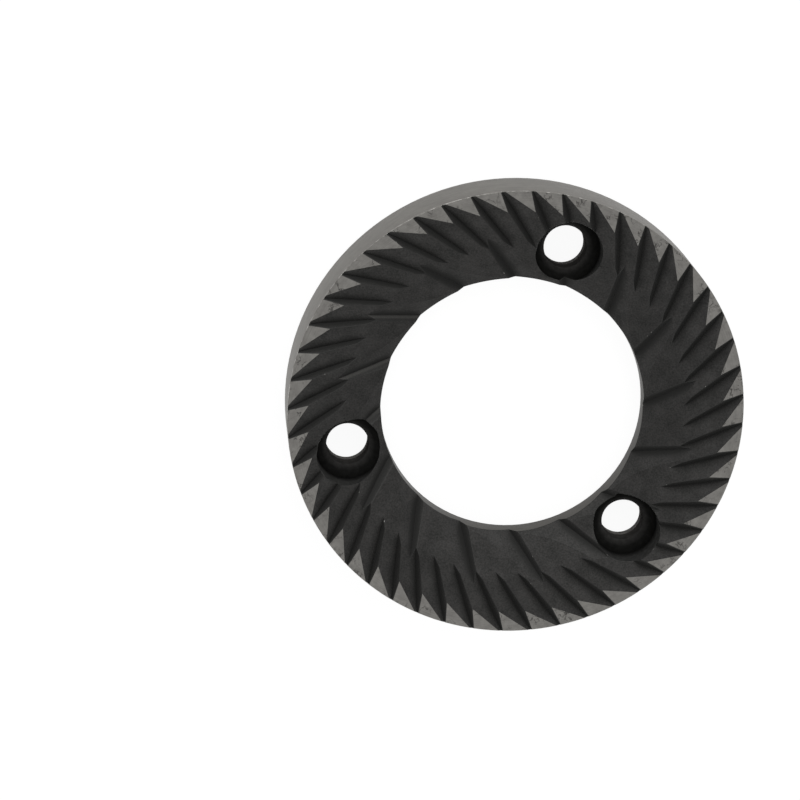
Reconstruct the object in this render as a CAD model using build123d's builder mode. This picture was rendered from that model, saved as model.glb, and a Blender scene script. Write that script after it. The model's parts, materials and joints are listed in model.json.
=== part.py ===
from build123d import *
import os
from math import cos, pi, radians, sin, tan

os.makedirs("parts", exist_ok=True)

# Flat burr of a coffee grinder: a hardened steel ring that lies on its back, teeth up.
# Millimetres and degrees. The axis is Z, and the origin is the centre of the back face.

# Ring: a turned blank, which a cone round the bore opens towards the teeth
outer_diameter = 64.0
bore_diameter = 37.3
ring_height = 9.0
rim_chamfer = 0.2  # on the back
bore_chamfer = 1.4  # on the back
cone_depth = 4.55  # from the land down to the cone's lower edge, at the bore
cone_slope = 31.0

# Fine grooves: a lopsided V whose valley sinks from the rim towards the bore
fine_count = 48
fine_run_out = 0.6  # how far outside the rim the valley would reach the land
fine_skew = 26.0  # turn of the valley from the radius, seen from above
fine_sink = 8.3  # slope of the valley
fine_wall_lean = 53.5  # lean of the cutting wall from upright
fine_flank_slope = 18.0  # slope of the long flank

# Breaker grooves: the same kind of cut down the cone, beside the valley of every third fine groove
breaker_count = 16
breaker_inset = 4.85  # how far inside the rim the valley would reach the land
breaker_turn = -8.6  # turn round the axis from the fine groove beside it
breaker_skew = 23.5
breaker_sink = 30.3
breaker_wall_lean = 53.7
breaker_flank_slope = 38.9

# Three screws hold the burr to its carrier, with their heads sunk below the teeth
screw_count = 3
screw_circle = 47.8
screw_hole_diameter = 6.0
screw_head_diameter = 9.2
screw_seat_angle = 90.0
screw_recess_depth = 4.1  # from the land down to the rim of the conical seat
screw_first_angle = 90.0
first_groove_angle = 104.8  # a fine groove that has a breaker beside it

cutter_clearance = 0.5  # what each cutter reaches past the faces that it cuts

outer_radius = outer_diameter / 2
bore_radius = bore_diameter / 2
cone_radius = bore_radius + cone_depth / tan(radians(cone_slope))  # where the cone meets the land


def groove_cutter(count, start_radius, skew, sink, flank_slope, wall_lean):
    """V-shaped prism that cuts one of count grooves, for a groove that starts on +Y.

    It runs from the groove's start to its nearest point to the axis, inside the bore, and its flank
    stops above the next groove's valley.
    """
    turn = radians(skew)
    pitch = 2 * pi / count
    run = start_radius * cos(turn)
    top = run * tan(radians(sink)) + cutter_clearance
    corners = [
        (0, 0),
        (top / tan(radians(flank_slope)), top),
        (-top * tan(radians(wall_lean)), top),
    ]
    section = Plane(
        origin=(0, start_radius, ring_height),
        x_dir=(cos(turn), sin(turn), 0),
        z_dir=(sin(turn), -cos(turn), 0),
    )
    valley_direction = section.z_dir - Vector(0, 0, tan(radians(sink)))
    next_valley = Plane(
        origin=(start_radius * sin(pitch), start_radius * cos(pitch), ring_height),
        z_dir=(cos(turn - pitch), sin(turn - pitch), 0),
    )
    with BuildPart() as cutter:
        with BuildSketch(section):
            with BuildLine():
                Polyline(*corners, close=True)
            make_face()
        extrude(amount=valley_direction.length * run, dir=valley_direction)
        split(bisect_by=next_valley, keep=Keep.BOTTOM)
    return cutter.part


fine_cutter = groove_cutter(
    fine_count,
    outer_radius + fine_run_out,
    fine_skew,
    fine_sink,
    fine_flank_slope,
    fine_wall_lean,
)
breaker_cutter = groove_cutter(
    breaker_count,
    outer_radius - breaker_inset,
    breaker_skew,
    breaker_sink,
    breaker_flank_slope,
    breaker_wall_lean,
)

with BuildPart() as burr:
    with BuildSketch(Plane.XZ):
        with BuildLine():
            Polyline(
                (bore_radius, bore_chamfer),
                (bore_radius, ring_height - cone_depth),
                (cone_radius, ring_height),
                (outer_radius, ring_height),
                (outer_radius, rim_chamfer),
                (outer_radius - rim_chamfer, 0),
                (bore_radius + bore_chamfer, 0),
                close=True,
            )
        make_face()
    revolve(axis=Axis.Z)
    with PolarLocations(0, fine_count, start_angle=first_groove_angle - 90):
        add(fine_cutter, mode=Mode.SUBTRACT)
    with PolarLocations(0, breaker_count, start_angle=first_groove_angle - 90 + breaker_turn):
        add(breaker_cutter, mode=Mode.SUBTRACT)
    with Locations(Plane.XY.offset(ring_height - screw_recess_depth)):
        with PolarLocations(screw_circle / 2, screw_count, start_angle=screw_first_angle):
            CounterSinkHole(
                screw_hole_diameter / 2, screw_head_diameter / 2, counter_sink_angle=screw_seat_angle
            )

burr.part.label = "burr"
export_step(burr.part, "parts/burr.step")
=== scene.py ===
import json
from math import cos, radians, sin

import bmesh
import bpy
from mathutils import Euler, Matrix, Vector


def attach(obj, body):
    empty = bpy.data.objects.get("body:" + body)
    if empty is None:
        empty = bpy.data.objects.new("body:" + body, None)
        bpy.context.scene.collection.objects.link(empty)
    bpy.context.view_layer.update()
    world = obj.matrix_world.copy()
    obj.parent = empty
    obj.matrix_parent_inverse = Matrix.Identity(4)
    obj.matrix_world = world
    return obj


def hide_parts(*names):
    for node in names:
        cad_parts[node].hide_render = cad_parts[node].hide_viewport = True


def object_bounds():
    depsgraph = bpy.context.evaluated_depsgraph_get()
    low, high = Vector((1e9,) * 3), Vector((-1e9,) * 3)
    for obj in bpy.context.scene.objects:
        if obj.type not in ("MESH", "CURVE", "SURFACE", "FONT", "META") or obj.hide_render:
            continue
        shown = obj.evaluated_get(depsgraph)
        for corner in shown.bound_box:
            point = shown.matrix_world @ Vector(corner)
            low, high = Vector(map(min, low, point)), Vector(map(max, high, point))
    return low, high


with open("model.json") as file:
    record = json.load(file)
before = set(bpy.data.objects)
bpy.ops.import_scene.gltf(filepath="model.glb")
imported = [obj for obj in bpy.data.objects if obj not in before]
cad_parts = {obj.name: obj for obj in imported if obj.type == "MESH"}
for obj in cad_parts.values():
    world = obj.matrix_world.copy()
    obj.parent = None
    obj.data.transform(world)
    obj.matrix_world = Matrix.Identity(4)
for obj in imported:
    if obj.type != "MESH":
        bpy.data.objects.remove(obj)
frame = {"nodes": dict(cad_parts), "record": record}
cad_low, cad_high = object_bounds()

# Flat burr of a coffee grinder: a copy of the CAD ring with worn edges and the finishes of its steel.
# Lengths are in metres: one millimetre is this long.
MM = 0.001

# The ring's main sizes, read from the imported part
mount_sizes = {mount["name"]: mount["dims"] for mount in frame["record"]["mounts"]}
outer_radius = cad_high.x
ring_height = cad_high.z
bore_radius = mount_sizes["centre_bore"]["r_mm"] * MM
screw_count = mount_sizes["screw_holes"]["count"]
screw_circle_radius = mount_sizes["screw_holes"]["pcd_mm"] / 2 * MM
screw_hole_radius = mount_sizes["screw_holes"]["hole_r_mm"] * MM

# The screw recesses: the record has no numbers for them, so these repeat the part's own.
screw_head_radius = 4.6 * MM
screw_recess_depth = 4.1 * MM
first_screw_degrees = 90
screw_angles = [radians(first_screw_degrees + 360 * i / screw_count) for i in range(screw_count)]
screw_axes = [screw_circle_radius * Vector((cos(angle), sin(angle))) for angle in screw_angles]

# Heights in a recess: its seat, which leans 45 degrees, and the stops of its painted light and shade:
# painted floor light at the hole's lower end, painted shade from just above it, and lighter again up the
# recess wall
seat_high = ring_height - screw_recess_depth
seat_low = seat_high - (screw_head_radius - screw_hole_radius)
seat_middle = (seat_low + seat_high) / 2
floor_lit_hole_height = 1.1 * MM
shaded_hole_height = 1.4 * MM
lighter_recess_height = 6.6 * MM

# The part's facets are merged where they lie flat, and shaded as one round where they turn by little.
merge_distance = 0.002 * MM
flat_tolerance = radians(0.4)
round_tolerance = radians(15)

# Edges that stand out are worn to a narrow round, from this turn between faces upwards.
worn_edge_width = 0.05 * MM
worn_edge_segments = 2
worn_edge_least_turn = radians(30)

# The side of the ring where painted highlights fall: along the feet of the breaker walls, and on the rim's
# front edge, whose bare wear is brightest there
glint_angle = radians(173)
glint_side = Vector((cos(glint_angle), sin(glint_angle), 0.0))

# Faces are told apart by their place, within these slacks, and by how far up their normals point.
size_slack = 0.02 * MM
edge_slack = 2 * worn_edge_width
back_edge_height = ring_height / 4
back_most_up = -0.5  # the back and its chamfers
flat_back_most_up = -0.95  # the back without its chamfers
chamfer_most_up = -0.1
upright_most_up = 0.02
breaker_most_up = 0.75  # the faces of the fine grooves point further up
wall_least_turn = 0.2  # walls point back round the axis by more than this

# Slots of the steel piece
FLANK_SLOT = 0
WALL_SLOT = 1
BREAKER_FLANK_SLOT = 2
BREAKER_WALL_SLOT = 3
RECESS_SLOT = 4
LAND_SLOT = 5
RIM_SLOT = 6
BORE_SLOT = 7
WORN_SLOT = 8
BARE_AND_GLINT_SLOT = 9


def linear(hex_colour):
    """Turns an sRGB hex colour into linear red, green, blue and alpha."""
    channels = [int(hex_colour[i : i + 2], 16) / 255 for i in (1, 3, 5)]
    return [c / 12.92 if c <= 0.04045 else ((c + 0.055) / 1.055) ** 2.4 for c in channels] + [1.0]


def add_node(tree, kind, inputs=None, stops=None, **settings):
    """Adds a node, applies its settings and a ramp's colour stops, then sets or links its inputs."""
    node = tree.nodes.new(kind)
    for name, value in settings.items():
        setattr(node, name, value)
    if stops:
        elements = node.color_ramp.elements
        elements.remove(elements[1])
        elements[0].position = stops[0][0]
        elements[0].color = linear(stops[0][1])
        for position, colour in stops[1:]:
            elements.new(position).color = linear(colour)
    for socket, value in (inputs or {}).items():
        if isinstance(value, bpy.types.NodeSocket):
            tree.links.new(value, node.inputs[socket])
        else:
            node.inputs[socket].default_value = value
    return node


def new_material(name):
    """Makes a material with a bare Principled shader, and gives its tree and the shader."""
    material = bpy.data.materials.new(name)
    material.use_nodes = True
    tree = material.node_tree
    return material, tree, tree.nodes["Principled BSDF"]


def turned_lay(tree, place):
    """Object coordinates as radius, arc and height, with short arcs, so that marks run round the axis."""
    arc_share = 0.03
    without_height = (1, 1, 0)
    parts = add_node(tree, "ShaderNodeSeparateXYZ", {0: place})
    flat = add_node(tree, "ShaderNodeVectorMath", {0: place, 1: without_height}, operation="MULTIPLY")
    radius = add_node(tree, "ShaderNodeVectorMath", {0: flat.outputs[0]}, operation="LENGTH")
    turn = add_node(
        tree, "ShaderNodeMath", {0: parts.outputs["Y"], 1: parts.outputs["X"]}, operation="ARCTAN2"
    )
    arc = add_node(
        tree, "ShaderNodeMath", {0: turn.outputs[0], 1: outer_radius * arc_share}, operation="MULTIPLY"
    )
    lay = add_node(
        tree,
        "ShaderNodeCombineXYZ",
        {"X": radius.outputs["Value"], "Y": arc.outputs[0], "Z": parts.outputs["Z"]},
    )
    return lay.outputs[0]


def corner_shade_and_residue(tree):
    """Painted corner shade, partly standing for dark residue: from 0 in tight inner corners to 1 on open
    faces.
    """
    corner_reach = 1.5 * MM
    shaded_share = 0.88  # of the view from a face, how much is open
    unshaded_share = 0.995
    open_share = add_node(
        tree, "ShaderNodeAmbientOcclusion", {"Distance": corner_reach}, samples=8, only_local=True
    )
    clean = add_node(
        tree,
        "ShaderNodeMapRange",
        {"Value": open_share.outputs["AO"], "From Min": shaded_share, "From Max": unshaded_share},
        interpolation_type="SMOOTHSTEP",
    )
    return clean.outputs["Result"]


def painted_foot_glint(tree, place):
    """Painted highlight: 1 along the foot of a wall on the glint side, a little above the corner, and 0
    elsewhere.
    """
    foot_reach = 0.8 * MM
    corner_share = 0.68  # of the view from a face, how much is open
    foot_low_share = 0.82
    foot_high_share = 0.9
    upper_wall_share = 0.98
    side_edge = 0.83  # cosine of the turn from the middle of the glint side
    side_middle = 0.91
    open_share = add_node(
        tree, "ShaderNodeAmbientOcclusion", {"Distance": foot_reach}, samples=8, only_local=True
    )
    strip = add_node(
        tree,
        "ShaderNodeValToRGB",
        {"Fac": open_share.outputs["AO"]},
        stops=[
            (corner_share, "#000000"),
            (foot_low_share, "#ffffff"),
            (foot_high_share, "#ffffff"),
            (upper_wall_share, "#000000"),
        ],
    )
    direction = add_node(tree, "ShaderNodeVectorMath", {0: place}, operation="NORMALIZE")
    side = add_node(
        tree, "ShaderNodeVectorMath", {0: direction.outputs[0], 1: glint_side}, operation="DOT_PRODUCT"
    )
    near = add_node(
        tree,
        "ShaderNodeMapRange",
        {"Value": side.outputs["Value"], "From Min": side_edge, "From Max": side_middle},
    )
    foot_glint = add_node(
        tree,
        "ShaderNodeMath",
        {0: strip.outputs["Color"], 1: near.outputs["Result"]},
        operation="MULTIPLY",
    )
    return foot_glint.outputs[0]


def dark_steel(name, dark_colour, light_colour, shade_and_residue_colour, foot_glint_colour=None):
    """Hardened steel, milled and left dark from heat treatment: almost black, dull, with a fine grain.

    Its corners are darkened by painted shade, which partly stands for dark residue. With a foot glint
    colour, the feet of its walls get a painted highlight in that colour on the glint side.
    """
    cloud_size = 2.5 * MM
    grain_size = 0.22 * MM  # coarser than the real grain, which is too fine to show
    grain_depth = 0.02 * MM
    grain_share = 0.6
    dark_noise = 0.35
    light_noise = 0.65
    material, tree, shader = new_material(name)
    place = add_node(tree, "ShaderNodeTexCoord").outputs["Object"]
    cloud = add_node(
        tree, "ShaderNodeTexNoise", {"Vector": place, "Scale": 1 / cloud_size, "Detail": 3.0}
    )
    grain = add_node(
        tree, "ShaderNodeTexNoise", {"Vector": place, "Scale": 1 / grain_size, "Detail": 2.0}
    )
    both = add_node(
        tree,
        "ShaderNodeMix",
        {"Factor": grain_share, "A": cloud.outputs["Fac"], "B": grain.outputs["Fac"]},
    )
    clean = add_node(
        tree,
        "ShaderNodeValToRGB",
        {"Fac": both.outputs["Result"]},
        stops=[(dark_noise, dark_colour), (light_noise, light_colour)],
    )
    # painted corner shade, partly residue, mixed into the steel's colour
    corner_shaded = add_node(
        tree,
        "ShaderNodeMix",
        {"Factor": corner_shade_and_residue(tree), "A": linear(shade_and_residue_colour), "B": clean.outputs["Color"]},
        data_type="RGBA",
    )
    colour = corner_shaded.outputs["Result"]
    # painted highlight along the feet of the walls on the glint side
    if foot_glint_colour:
        foot_glint = add_node(
            tree,
            "ShaderNodeMix",
            {"Factor": painted_foot_glint(tree, place), "A": colour, "B": linear(foot_glint_colour)},
            data_type="RGBA",
        )
        colour = foot_glint.outputs["Result"]
    bump = add_node(
        tree,
        "ShaderNodeBump",
        {"Strength": 0.25, "Distance": grain_depth, "Height": grain.outputs["Fac"]},
    )
    tree.links.new(colour, shader.inputs["Base Color"])
    tree.links.new(bump.outputs["Normal"], shader.inputs["Normal"])
    shader.inputs["Metallic"].default_value = 1.0
    shader.inputs["Roughness"].default_value = 0.7
    shader.inputs["Specular Tint"].default_value = linear("#c0c0c0")
    return material


def recess_shade_and_dust():
    """Dark steel in the screw recesses, dull, with patches of coffee dust and dried oil, and painted light
    and shade by height.

    The painted shade is black in the corner of the seat and lightens towards the teeth and down the hole,
    whose lower end has painted light from the floor.
    """
    dust_size = 0.6 * MM
    dusty_noise = 0.3
    oily_noise = 0.7
    material, tree, shader = new_material("recess_steel_painted_shade")
    place = add_node(tree, "ShaderNodeTexCoord").outputs["Object"]
    parts = add_node(tree, "ShaderNodeSeparateXYZ", {0: place})
    height_share = add_node(
        tree, "ShaderNodeMath", {0: parts.outputs["Z"], 1: 1 / ring_height}, operation="MULTIPLY"
    )
    # painted light and shade by height: floor light at the hole's lower end, black painted shade in the
    # seat's corner
    shade = add_node(
        tree,
        "ShaderNodeValToRGB",
        {"Fac": height_share.outputs[0]},
        stops=[
            (floor_lit_hole_height / ring_height, "#8a8885"),
            (shaded_hole_height / ring_height, "#504e4c"),
            (seat_low / ring_height, "#3d3c3b"),
            (seat_middle / ring_height, "#1e1e1d"),
            (seat_high / ring_height, "#131312"),
            (lighter_recess_height / ring_height, "#393938"),
        ],
    )
    dust = add_node(tree, "ShaderNodeTexNoise", {"Vector": place, "Scale": 1 / dust_size, "Detail": 3.0})
    patches = add_node(
        tree,
        "ShaderNodeValToRGB",
        {"Fac": dust.outputs["Fac"]},
        stops=[(dusty_noise, "#d0d0d0"), (oily_noise, "#ffffff")],
    )
    dusted = add_node(
        tree,
        "ShaderNodeMix",
        {"Factor": 1.0, "A": shade.outputs["Color"], "B": patches.outputs["Color"]},
        data_type="RGBA",
        blend_type="MULTIPLY",
    )
    tree.links.new(dusted.outputs["Result"], shader.inputs["Base Color"])
    shader.inputs["Roughness"].default_value = 0.8
    shader.inputs["Specular IOR Level"].default_value = 0.0
    return material


def scuff_lines(tree, place):
    """Thin wandering scuffs in scattered patches: near 1 along a scuff and 0 beside it."""
    wander = 1.2 * MM
    patch_size = 3.0 * MM
    line_level = 0.5
    line_core = 0.006
    line_edge = 0.03
    patch_edge = 0.47
    patch_middle = 0.6
    darkest_scuff = 0.9
    level = add_node(
        tree, "ShaderNodeTexNoise", {"Vector": place, "Scale": 1 / wander, "Detail": 4.0, "Distortion": 0.4}
    )
    above_line = add_node(
        tree, "ShaderNodeMath", {0: level.outputs["Fac"], 1: line_level}, operation="SUBTRACT"
    )
    off_line = add_node(tree, "ShaderNodeMath", {0: above_line.outputs[0]}, operation="ABSOLUTE")
    on_line = add_node(
        tree,
        "ShaderNodeMapRange",
        {
            "Value": off_line.outputs[0],
            "From Min": line_core,
            "From Max": line_edge,
            "To Min": 1.0,
            "To Max": 0.0,
        },
    )
    patch = add_node(tree, "ShaderNodeTexNoise", {"Vector": place, "Scale": 1 / patch_size, "Detail": 2.0})
    in_patch = add_node(
        tree,
        "ShaderNodeMapRange",
        {
            "Value": patch.outputs["Fac"],
            "From Min": patch_edge,
            "From Max": patch_middle,
            "To Max": darkest_scuff,
        },
    )
    scuff = add_node(
        tree,
        "ShaderNodeMath",
        {0: on_line.outputs["Result"], 1: in_patch.outputs["Result"]},
        operation="MULTIPLY",
    )
    return scuff.outputs[0]


def turned_steel(name, dark_colour, light_colour, cloud_share, scuff_colour=None):
    """The same steel turned or ground bright: satin grey with fine marks that run round the axis.

    A larger cloud share hides more of the marks under soft clouds. With a scuff colour, as on the lands
    between the grooves, thin dark scuffs are dented into it.
    """
    mark_width = 0.12 * MM  # coarser than the real marks, which are too fine to show
    mark_depth = 0.01 * MM
    cloud_size = 1.3 * MM
    dark_noise = 0.3
    light_noise = 0.7
    scuff_depth = 0.03 * MM
    material, tree, shader = new_material(name)
    place = add_node(tree, "ShaderNodeTexCoord").outputs["Object"]
    lay = turned_lay(tree, place)
    mark = add_node(tree, "ShaderNodeTexNoise", {"Vector": lay, "Scale": 1 / mark_width, "Detail": 2.0})
    cloud = add_node(
        tree,
        "ShaderNodeTexNoise",
        {"Vector": place, "Scale": 1 / cloud_size, "Detail": 5.0, "Roughness": 0.7},
    )
    both = add_node(
        tree,
        "ShaderNodeMix",
        {"Factor": cloud_share, "A": mark.outputs["Fac"], "B": cloud.outputs["Fac"]},
    )
    clean = add_node(
        tree,
        "ShaderNodeValToRGB",
        {"Fac": both.outputs["Result"]},
        stops=[(dark_noise, dark_colour), (light_noise, light_colour)],
    )
    bump = add_node(
        tree,
        "ShaderNodeBump",
        {"Strength": 0.15, "Distance": mark_depth, "Height": mark.outputs["Fac"]},
    )
    colour = clean.outputs["Color"]
    normal = bump.outputs["Normal"]
    if scuff_colour:
        scuff = scuff_lines(tree, place)
        scuffed = add_node(
            tree,
            "ShaderNodeMix",
            {"Factor": scuff, "A": colour, "B": linear(scuff_colour)},
            data_type="RGBA",
        )
        dent = add_node(
            tree,
            "ShaderNodeBump",
            {"Strength": 0.5, "Distance": scuff_depth, "Height": scuff, "Normal": normal},
            invert=True,
        )
        colour = scuffed.outputs["Result"]
        normal = dent.outputs["Normal"]
    tree.links.new(colour, shader.inputs["Base Color"])
    tree.links.new(normal, shader.inputs["Normal"])
    shader.inputs["Metallic"].default_value = 1.0
    shader.inputs["Roughness"].default_value = 0.42
    shader.inputs["Specular Tint"].default_value = linear("#d9d9d9")
    return material


def worn_steel():
    """Dark steel with bare bright specks, where the skin has been knocked off an edge."""
    speck_spacing = 1.1 * MM
    skin_noise = 0.7
    bare_noise = 0.78
    material, tree, shader = new_material("worn_edge_steel")
    place = add_node(tree, "ShaderNodeTexCoord").outputs["Object"]
    wear = add_node(
        tree, "ShaderNodeTexNoise", {"Vector": place, "Scale": 1 / speck_spacing, "Detail": 2.0}
    )
    colour = add_node(
        tree,
        "ShaderNodeValToRGB",
        {"Fac": wear.outputs["Fac"]},
        stops=[(skin_noise, "#383837"), (bare_noise, "#b4b2ae")],
    )
    tree.links.new(colour.outputs["Color"], shader.inputs["Base Color"])
    shader.inputs["Metallic"].default_value = 1.0
    shader.inputs["Roughness"].default_value = 0.4
    return material


def bare_edge_and_glint():
    """The rim's front edge: ground steel that knocks have left bright in nicks, with a painted highlight
    that brightens it most on the glint side.
    """
    nick_spacing = 0.8 * MM
    glint_side_share = 0.14
    dull_wear = 0.54
    bright_wear = 0.84
    material, tree, shader = new_material("bare_rim_edge_steel_and_glint")
    place = add_node(tree, "ShaderNodeTexCoord").outputs["Object"]
    nicks = add_node(
        tree, "ShaderNodeTexNoise", {"Vector": place, "Scale": 1 / nick_spacing, "Detail": 2.0}
    )
    side = add_node(tree, "ShaderNodeVectorMath", {0: place, 1: glint_side}, operation="DOT_PRODUCT")
    # painted highlight rising towards the glint side, added to the nicks of real wear
    wear = add_node(
        tree,
        "ShaderNodeMath",
        {0: side.outputs["Value"], 1: glint_side_share / outer_radius, 2: nicks.outputs["Fac"]},
        operation="MULTIPLY_ADD",
    )
    colour = add_node(
        tree,
        "ShaderNodeValToRGB",
        {"Fac": wear.outputs[0]},
        stops=[(dull_wear, "#7b7975"), (bright_wear, "#d4d2ce")],
    )
    tree.links.new(colour.outputs["Color"], shader.inputs["Base Color"])
    shader.inputs["Metallic"].default_value = 1.0
    shader.inputs["Roughness"].default_value = 0.42
    return material


def burr_finishes():
    """The finishes of the steel piece, in the order of its slots."""
    few_clouds = 0.35
    many_clouds = 0.65
    finishes = {
        # Each dark steel: its two tones, then its painted corner shade, partly residue; the breaker walls
        # also get a painted foot highlight.
        FLANK_SLOT: dark_steel("heat_darkened_steel", "#363635", "#4c4b4a", "#242423"),
        WALL_SLOT: dark_steel("heat_darkened_wall_steel", "#363635", "#484746", "#2e2e2d"),
        BREAKER_FLANK_SLOT: dark_steel("heat_darkened_breaker_steel", "#3c3c3b", "#525150", "#393938"),
        BREAKER_WALL_SLOT: dark_steel(
            "heat_darkened_breaker_wall_steel", "#3e3e3d", "#545352", "#3b3b3a", "#5a5957"
        ),
        RECESS_SLOT: recess_shade_and_dust(),
        LAND_SLOT: turned_steel("ground_steel", "#6f6d6a", "#8f8d89", many_clouds, "#383735"),
        RIM_SLOT: turned_steel("turned_rim_steel", "#63605c", "#88857f", few_clouds),
        BORE_SLOT: turned_steel("turned_bore_steel", "#484643", "#5b5955", few_clouds),
        WORN_SLOT: worn_steel(),
        BARE_AND_GLINT_SLOT: bare_edge_and_glint(),
    }
    return [finishes[slot] for slot in sorted(finishes)]


def off_screw_axis(place):
    """How far a place lies from the nearest screw's axis."""
    return min((place.xy - axis).length for axis in screw_axes)


def finish_slot(polygon, mesh):
    """The slot of a face's finish, from where the face lies and which way it points."""
    corners = [mesh.vertices[i].co for i in polygon.vertices]
    reach = [corner.xy.length for corner in corners]
    if all(corner.z > ring_height - size_slack for corner in corners):
        return LAND_SLOT
    if polygon.normal.z < back_most_up or min(reach) > outer_radius - size_slack:
        return RIM_SLOT
    if max(reach) < bore_radius + size_slack:
        return BORE_SLOT
    if all(off_screw_axis(corner) < screw_head_radius + size_slack for corner in corners):
        return RECESS_SLOT
    round_the_axis = Vector((-polygon.center.y, polygon.center.x, 0)).normalized()
    is_wall = polygon.normal.dot(round_the_axis) < -wall_least_turn
    if polygon.normal.z < breaker_most_up:
        return BREAKER_WALL_SLOT if is_wall else BREAKER_FLANK_SLOT
    return WALL_SLOT if is_wall else FLANK_SLOT


def edge_slot(polygon):
    """The slot of a worn edge: as the rim on the back, as the recess in it, else bare with a painted
    highlight on the rim's front, or specked.
    """
    centre = polygon.center
    if centre.z < back_edge_height:
        return RIM_SLOT
    if off_screw_axis(centre) < screw_head_radius - edge_slack:
        return RECESS_SLOT
    on_front = centre.z > ring_height - edge_slack
    on_rim = centre.xy.length > outer_radius - edge_slack
    return BARE_AND_GLINT_SLOT if on_front and on_rim else WORN_SLOT


def is_round(polygon):
    """True for upright faces, which are turned or drilled, and for the chamfers on the back."""
    is_upright = abs(polygon.normal.z) < upright_most_up
    is_chamfer = flat_back_most_up < polygon.normal.z < chamfer_most_up
    return is_upright or is_chamfer


def merge_facets():
    """Joins the active mesh's loose triangles, and makes one face of those that lie flat together."""
    bpy.ops.mesh.customdata_custom_splitnormals_clear()
    bpy.ops.object.mode_set(mode="EDIT")
    bpy.ops.mesh.select_all(action="SELECT")
    bpy.ops.mesh.remove_doubles(threshold=merge_distance)
    bpy.ops.mesh.dissolve_limited(angle_limit=flat_tolerance)
    bpy.ops.object.mode_set(mode="OBJECT")


def round_edges(mesh):
    """Rounds the edges of the active mesh that stand out, and gives the new faces the worn slot."""
    bpy.ops.object.mode_set(mode="EDIT")
    bpy.ops.mesh.select_all(action="DESELECT")
    for edge in bmesh.from_edit_mesh(mesh).edges:
        if edge.is_manifold and edge.calc_face_angle_signed() > worn_edge_least_turn:
            edge.select_set(True)
    bmesh.update_edit_mesh(mesh)
    bpy.ops.mesh.bevel(
        offset=worn_edge_width,
        segments=worn_edge_segments,
        clamp_overlap=False,
        material=WORN_SLOT,
    )
    bpy.ops.object.mode_set(mode="OBJECT")


def worn_burr():
    """A copy of the ring whose outer edges are rounded by wear, with its faces sorted by finish."""
    mesh = frame["nodes"]["burr"].data.copy()
    mesh.materials.clear()
    for finish in burr_finishes():
        mesh.materials.append(finish)
    piece = bpy.data.objects.new("burr_steel", mesh)
    bpy.context.scene.collection.objects.link(piece)
    bpy.ops.object.select_all(action="DESELECT")
    piece.select_set(True)
    bpy.context.view_layer.objects.active = piece
    merge_facets()
    for polygon in mesh.polygons:
        polygon.material_index = finish_slot(polygon, mesh)
    round_edges(mesh)
    bpy.ops.object.shade_smooth_by_angle(angle=round_tolerance)
    for polygon in mesh.polygons:
        polygon.use_smooth = is_round(polygon)
        if polygon.material_index == WORN_SLOT:
            polygon.material_index = edge_slot(polygon)
    return piece


def floor_material():
    """Matt white sheet, whitened where it is seen, so that its shadows stay faint."""
    white_share = 0.88
    material, tree, shader = new_material("matt_white_sheet")
    ray = add_node(tree, "ShaderNodeLightPath")
    shown_or_mirrored = add_node(
        tree,
        "ShaderNodeMath",
        {0: ray.outputs["Is Camera Ray"], 1: ray.outputs["Is Glossy Ray"]},
        operation="MAXIMUM",
    )
    seen = add_node(
        tree,
        "ShaderNodeMath",
        {0: shown_or_mirrored.outputs[0], 1: ray.outputs["Is Transmission Ray"]},
        operation="MAXIMUM",
    )
    share = add_node(tree, "ShaderNodeMath", {0: seen.outputs[0], 1: white_share}, operation="MULTIPLY")
    plain_white = add_node(tree, "ShaderNodeEmission", {"Color": linear("#ffffff"), "Strength": 1.05})
    mixed = add_node(
        tree,
        "ShaderNodeMixShader",
        {0: share.outputs[0], 1: shader.outputs["BSDF"], 2: plain_white.outputs["Emission"]},
    )
    tree.links.new(mixed.outputs["Shader"], tree.nodes["Material Output"].inputs["Surface"])
    shader.inputs["Base Color"].default_value = linear("#fafafa")
    shader.inputs["Roughness"].default_value = 1.0
    shader.inputs["Specular IOR Level"].default_value = 0.0
    return material


def white_floor():
    """The sheet that the ring lies on, a hair below it."""
    floor_width = 6.0
    floor_drop = 0.05 * MM
    bpy.ops.object.select_all(action="DESELECT")
    bpy.ops.mesh.primitive_plane_add(size=floor_width, location=(0, 0, -floor_drop))
    floor = bpy.context.active_object
    floor.name = "floor"
    floor.data.materials.append(floor_material())


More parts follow.
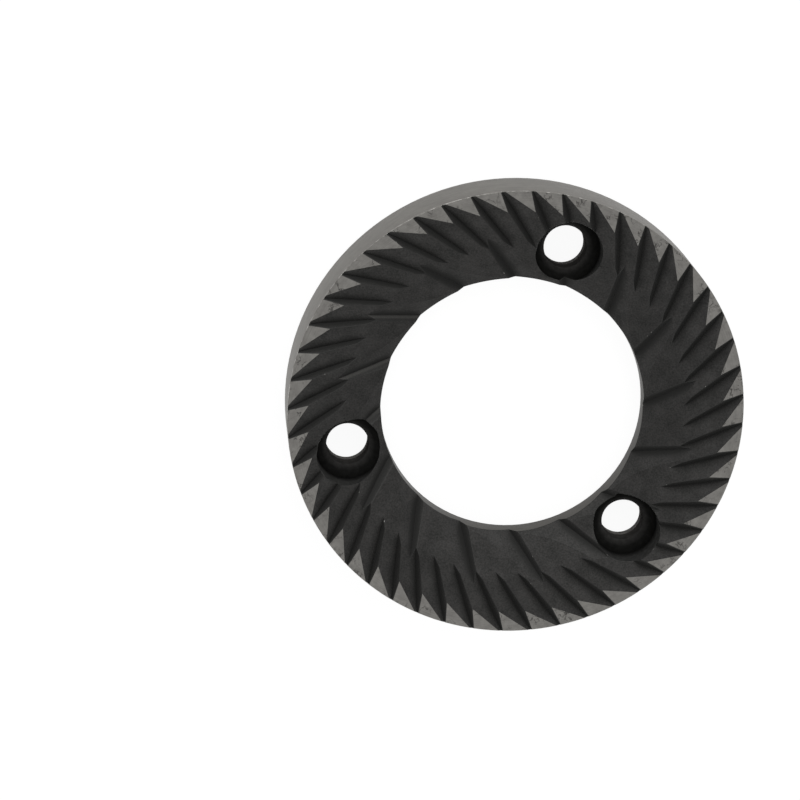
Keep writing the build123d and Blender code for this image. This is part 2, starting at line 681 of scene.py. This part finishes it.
def soft_light(name, place, power):
    """A large square lamp that faces the middle of the ring."""
    lamp_width = 0.6
    lamp = bpy.data.lights.new(name, "AREA")
    lamp.shape = "SQUARE"
    lamp.size = lamp_width
    lamp.energy = power
    holder = bpy.data.objects.new(name, lamp)
    holder.location = place
    holder.rotation_euler = (-Vector(place)).to_track_quat("-Z", "Y").to_euler()
    bpy.context.scene.collection.objects.link(holder)


def studio():
    """A soft dome that is brighter above and behind the ring, a lamp there and a weaker one in front."""
    dark_side_strength = 0.6
    bright_side_strength = 0.86
    bright_side = Vector((0.0, 0.8, 0.6))
    key_place = (-0.1, 0.6, 0.38)
    key_power = 1.8
    fill_place = (0.25, -0.62, 0.25)
    fill_power = 0.9
    world = bpy.data.worlds.new("studio")
    world.use_nodes = True
    bpy.context.scene.world = world
    tree = world.node_tree
    surround = tree.nodes["Background"]
    direction = add_node(tree, "ShaderNodeTexCoord").outputs["Generated"]
    towards = add_node(
        tree, "ShaderNodeVectorMath", {0: direction, 1: bright_side}, operation="DOT_PRODUCT"
    )
    strength = add_node(
        tree,
        "ShaderNodeMapRange",
        {
            "Value": towards.outputs["Value"],
            "From Min": -1.0,
            "To Min": dark_side_strength,
            "To Max": bright_side_strength,
        },
    )
    surround.inputs["Color"].default_value = linear("#ffffff")
    tree.links.new(strength.outputs["Result"], surround.inputs["Strength"])
    soft_light("key", key_place, key_power)
    soft_light("fill", fill_place, fill_power)
    bpy.context.scene.view_settings.view_transform = "Standard"


def camera():
    """The photograph's view: a long lens that looks down on the teeth, a little off the axis."""
    lens = bpy.data.cameras.new("camera")
    lens.sensor_width = 36.0
    lens.lens = 117.95
    lens.clip_start = 0.01
    holder = bpy.data.objects.new("camera", lens)
    holder.location = (-73.05 * MM, 88.48 * MM, 355.98 * MM)
    holder.rotation_euler = Euler((radians(-16.569), radians(-4.428), radians(17.430)))
    bpy.context.scene.collection.objects.link(holder)
    bpy.context.scene.camera = holder


burr = worn_burr()
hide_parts("burr")
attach(burr, "root")
white_floor()
studio()
camera()
